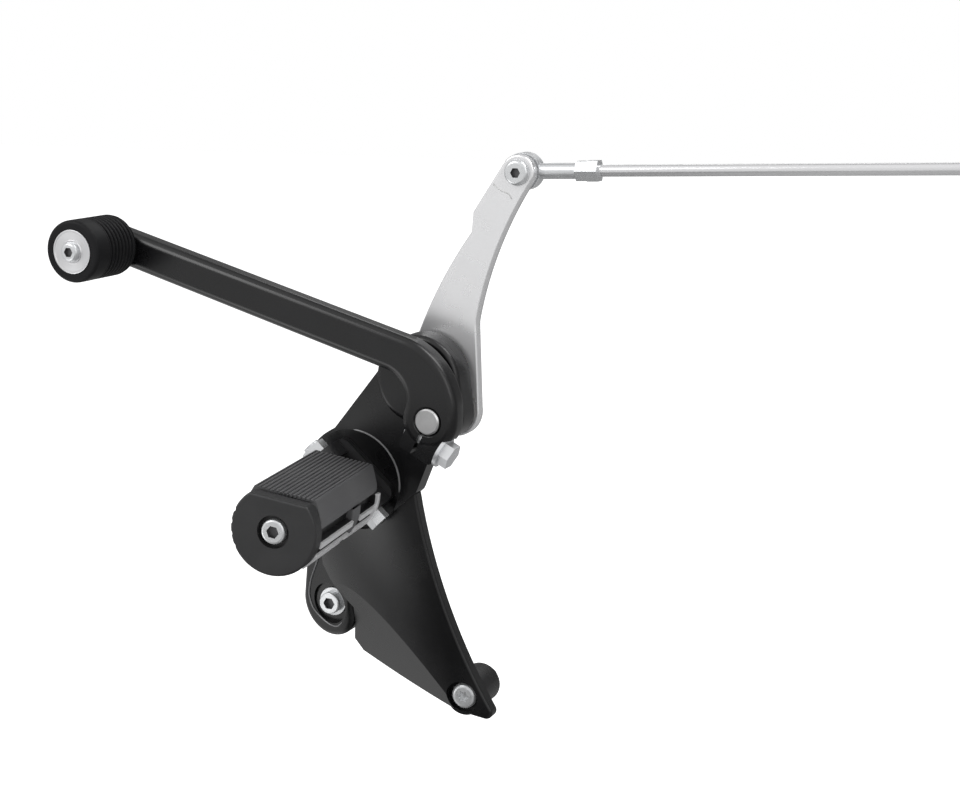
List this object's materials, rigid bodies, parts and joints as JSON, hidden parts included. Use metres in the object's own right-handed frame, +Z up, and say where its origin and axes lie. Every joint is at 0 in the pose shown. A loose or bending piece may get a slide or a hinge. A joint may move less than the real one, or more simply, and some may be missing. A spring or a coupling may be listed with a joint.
{
  "type": "motorcycle forward controls",
  "caption": "Left forward control of a motorcycle: cast bracket with folding footpeg, shift lever with toe peg, linkage arm and long shift rod.",
  "frame": {"origin": "centre of the rear frame screw's hole at the bracket's seat, the plane that bolts against the frame", "axes": "as the motorcycle stands: +X to its rear, +Y inboard towards the frame, along the frame screws, +Z up"},
  "size_m": [0.564, 0.165, 0.3311],
  "materials": {
    "black_gloss": "gloss black powder coat",
    "black_satin": "satin black coat",
    "peg_rubber": "ribbed moulded rubber",
    "toe_rubber": "ringed moulded rubber",
    "polished_alloy": "polished",
    "machined_alloy": "turned and lightly brushed",
    "polished_steel": "bright plated",
    "zinc_steel": "bright zinc plate",
    "shaft_steel": "ground end face",
    "bearing_bronze": "sintered, oiled"
  },
  "bodies": {
    "bracket": {"mount_bracket": "black_gloss", "rear_frame_screw": "zinc_steel", "front_frame_screw": "zinc_steel", "front_screw_washer": "zinc_steel", "pivot_bush_outer": "bearing_bronze", "pivot_bush_inner": "bearing_bronze", "peg_clevis": "black_satin", "clevis_lock_washer": "zinc_steel", "clevis_nut": "zinc_steel", "peg_pin": "zinc_steel", "peg_pin_nut": "zinc_steel", "peg_spring_washer": "zinc_steel"},
    "footpeg": {"peg_core": "polished_alloy", "peg_rubber": "peg_rubber", "peg_end_cap": "black_satin", "peg_end_screw": "zinc_steel"},
    "shifter": {"shift_lever": "black_gloss", "lever_pinch_bolt": "zinc_steel", "shift_shaft": "shaft_steel", "thrust_washer_outer": "zinc_steel", "thrust_washer_inner": "zinc_steel", "toe_peg_core": "machined_alloy", "toe_peg_rubber": "toe_rubber", "toe_peg_cap": "machined_alloy", "toe_peg_screw": "zinc_steel", "linkage_arm": "polished_alloy", "arm_washer": "zinc_steel", "arm_screw": "zinc_steel", "stud_screw": "zinc_steel", "stud_nut": "zinc_steel", "front_ball": "polished_steel"},
    "shift_rod": {"front_rod_end": "zinc_steel", "front_jam_nut": "zinc_steel", "rod_bar": "polished_steel", "rear_jam_nut": "zinc_steel", "rear_rod_end": "zinc_steel"},
    "rear_ball": {"rear_ball": "polished_steel"}
  },
  "joints": [
    {"name": "shift_pivot", "type": "hinge", "parent": "bracket", "child": "shifter", "pos_m": [-0.007, -0.044, 0.166], "axis": [0, 1, 0], "range_deg": [-12, 12]},
    {"name": "rod_swing", "type": "hinge", "parent": "shifter", "child": "shift_rod", "pos_m": [0.0305, -0.0115, 0.2986], "axis": [0, 1, 0], "range_deg": [-12, 12]},
    {"name": "rear_ball_turn", "type": "hinge", "parent": "shift_rod", "child": "rear_ball", "pos_m": [0.33031, -0.0115, 0.30933], "axis": [0, 1, 0], "continuous": true},
    {"name": "peg_fold", "type": "hinge", "parent": "bracket", "child": "footpeg", "pos_m": [-0.063, -0.046, 0.123], "axis": [-0.7018, -0.0862, 0.7071], "range_deg": [0, 38]}
  ],
  "couplings": [
    {"joint": "rod_swing", "follows": "shift_pivot", "ratio": -1}
  ]
}
